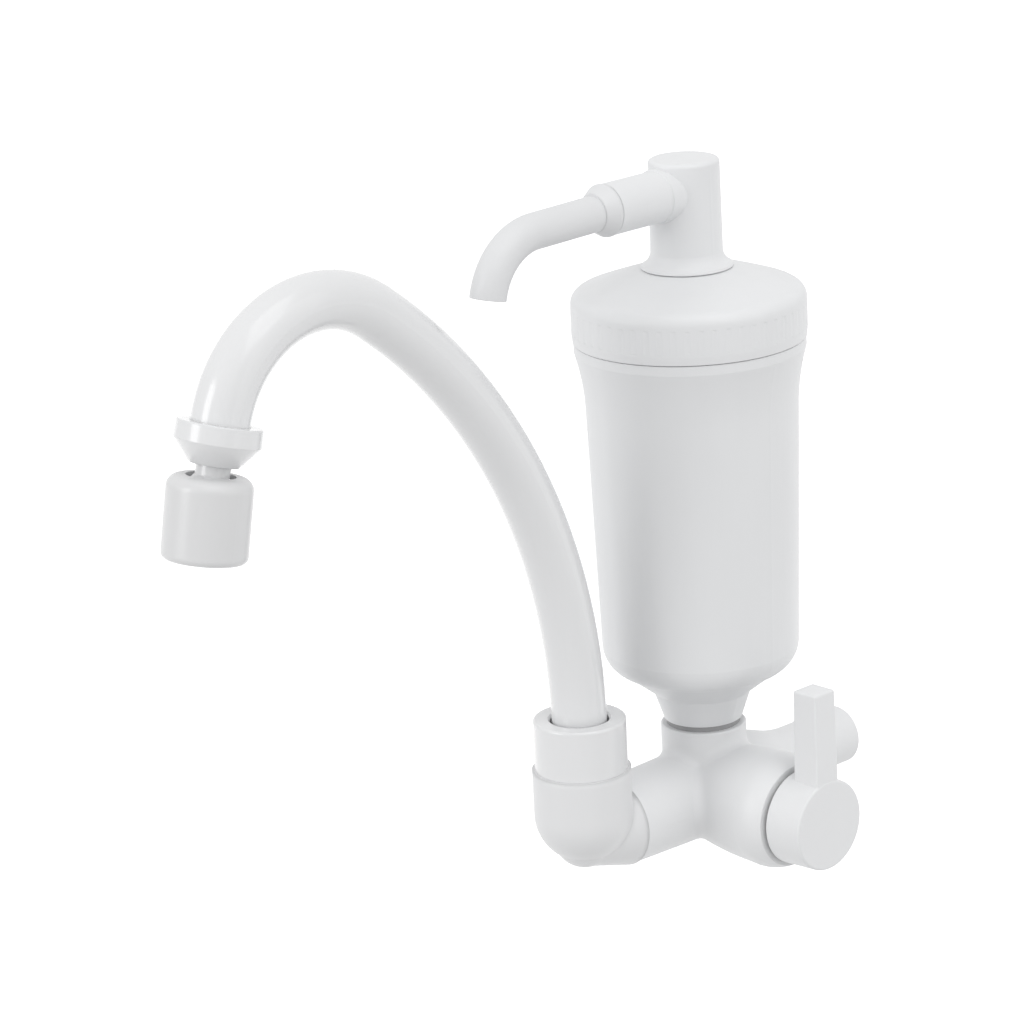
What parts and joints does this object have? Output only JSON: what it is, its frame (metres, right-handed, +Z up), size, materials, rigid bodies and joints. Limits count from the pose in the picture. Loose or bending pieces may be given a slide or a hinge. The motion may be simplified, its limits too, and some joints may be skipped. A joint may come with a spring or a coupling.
{
  "type": "wall tap with water filter",
  "caption": "White plastic wall tap with a lever valve, a swivelling swan-neck spout with a tilting aerator, and a screw-topped filter canister with its own small spout.",
  "frame": {"origin": "centre of the inlet arm's end face, on the plane of the wall fitting it screws onto", "axes": "+Y into the wall along the inlet arm, +Z up, +X towards the lever valve; the spouts point to -Y at rest"},
  "size_m": [0.108, 0.3261, 0.2687],
  "materials": {
    "white_plastic": "smooth moulded white, slightly glossy",
    "spout_plastic": "smooth moulded white, slightly glossy",
    "lever_plastic": "smooth moulded white, slightly glossy",
    "filter_case": "smooth moulded white, slightly glossy",
    "cartridge_plastic": "moulded acetal",
    "ring_plastic": "moulded acetal",
    "inner_plastic": "moulded polypropylene",
    "carbon": "pressed carbon, dull and slightly rough",
    "seal_rubber": "smooth moulded rubber",
    "disc_ceramic": "ground ceramic",
    "brass": "turned",
    "steel": "bright"
  },
  "bodies": {
    "tap_body": {"valve_body": "white_plastic", "port_seal": "seal_rubber", "fixed_disc": "disc_ceramic", "cartridge_housing": "cartridge_plastic", "cartridge_oring": "seal_rubber", "cartridge_nut": "brass", "spout_elbow": "spout_plastic", "elbow_oring": "seal_rubber", "spout_nut": "spout_plastic", "canister": "filter_case", "neck_oring": "seal_rubber", "carbon_block": "carbon", "element_bottom_cap": "inner_plastic", "element_top_cap": "inner_plastic", "element_oring": "seal_rubber"},
    "lever": {"spindle": "brass", "spindle_oring": "seal_rubber", "moving_disc": "disc_ceramic", "lever_handle": "lever_plastic", "handle_screw": "steel"},
    "spout": {"spout_tube": "spout_plastic", "spout_retaining_ring": "ring_plastic", "spout_oring_lower": "seal_rubber", "spout_oring_upper": "seal_rubber", "aerator_gasket": "seal_rubber", "aerator_nut": "spout_plastic", "ball_stem": "spout_plastic"},
    "aerator_seat": {"ball_seal": "seal_rubber"},
    "aerator_head": {"aerator_shell": "spout_plastic", "aerator_insert": "inner_plastic", "aerator_screen": "steel"},
    "lid": {"canister_lid": "filter_case", "lid_gasket": "seal_rubber"},
    "filter_head": {"head_column": "filter_case", "head_oring_lower": "seal_rubber", "head_oring_upper": "seal_rubber", "head_clip": "steel", "filter_spout": "filter_case", "filter_spout_oring": "seal_rubber"}
  },
  "joints": [
    {"name": "lever_turn", "type": "hinge", "parent": "tap_body", "child": "lever", "pos_m": [0.048, -0.076, 0], "axis": [1, 0, 0], "range_deg": [-90, 90]},
    {"name": "spout_swivel", "type": "hinge", "parent": "tap_body", "child": "spout", "pos_m": [0, -0.1415, 0.03], "axis": [0, 0, 1], "range_deg": [-110, 110]},
    {"name": "aerator_tilt", "type": "hinge", "parent": "spout", "child": "aerator_seat", "pos_m": [0, -0.30774, 0.17299], "axis": [1, 0, 0], "range_deg": [-18, 8]},
    {"name": "aerator_turn", "type": "hinge", "parent": "aerator_seat", "child": "aerator_head", "pos_m": [0, -0.30774, 0.17299], "axis": [0, -0.1908, -0.9816], "continuous": true},
    {"name": "lid_lift", "type": "slide", "parent": "tap_body", "child": "lid", "axis": [0, 0, 1], "range_m": [0, 0.014]},
    {"name": "head_swivel", "type": "hinge", "parent": "lid", "child": "filter_head", "pos_m": [0, -0.076, 0.2], "axis": [0, 0, 1], "range_deg": [-120, 120]}
  ]
}
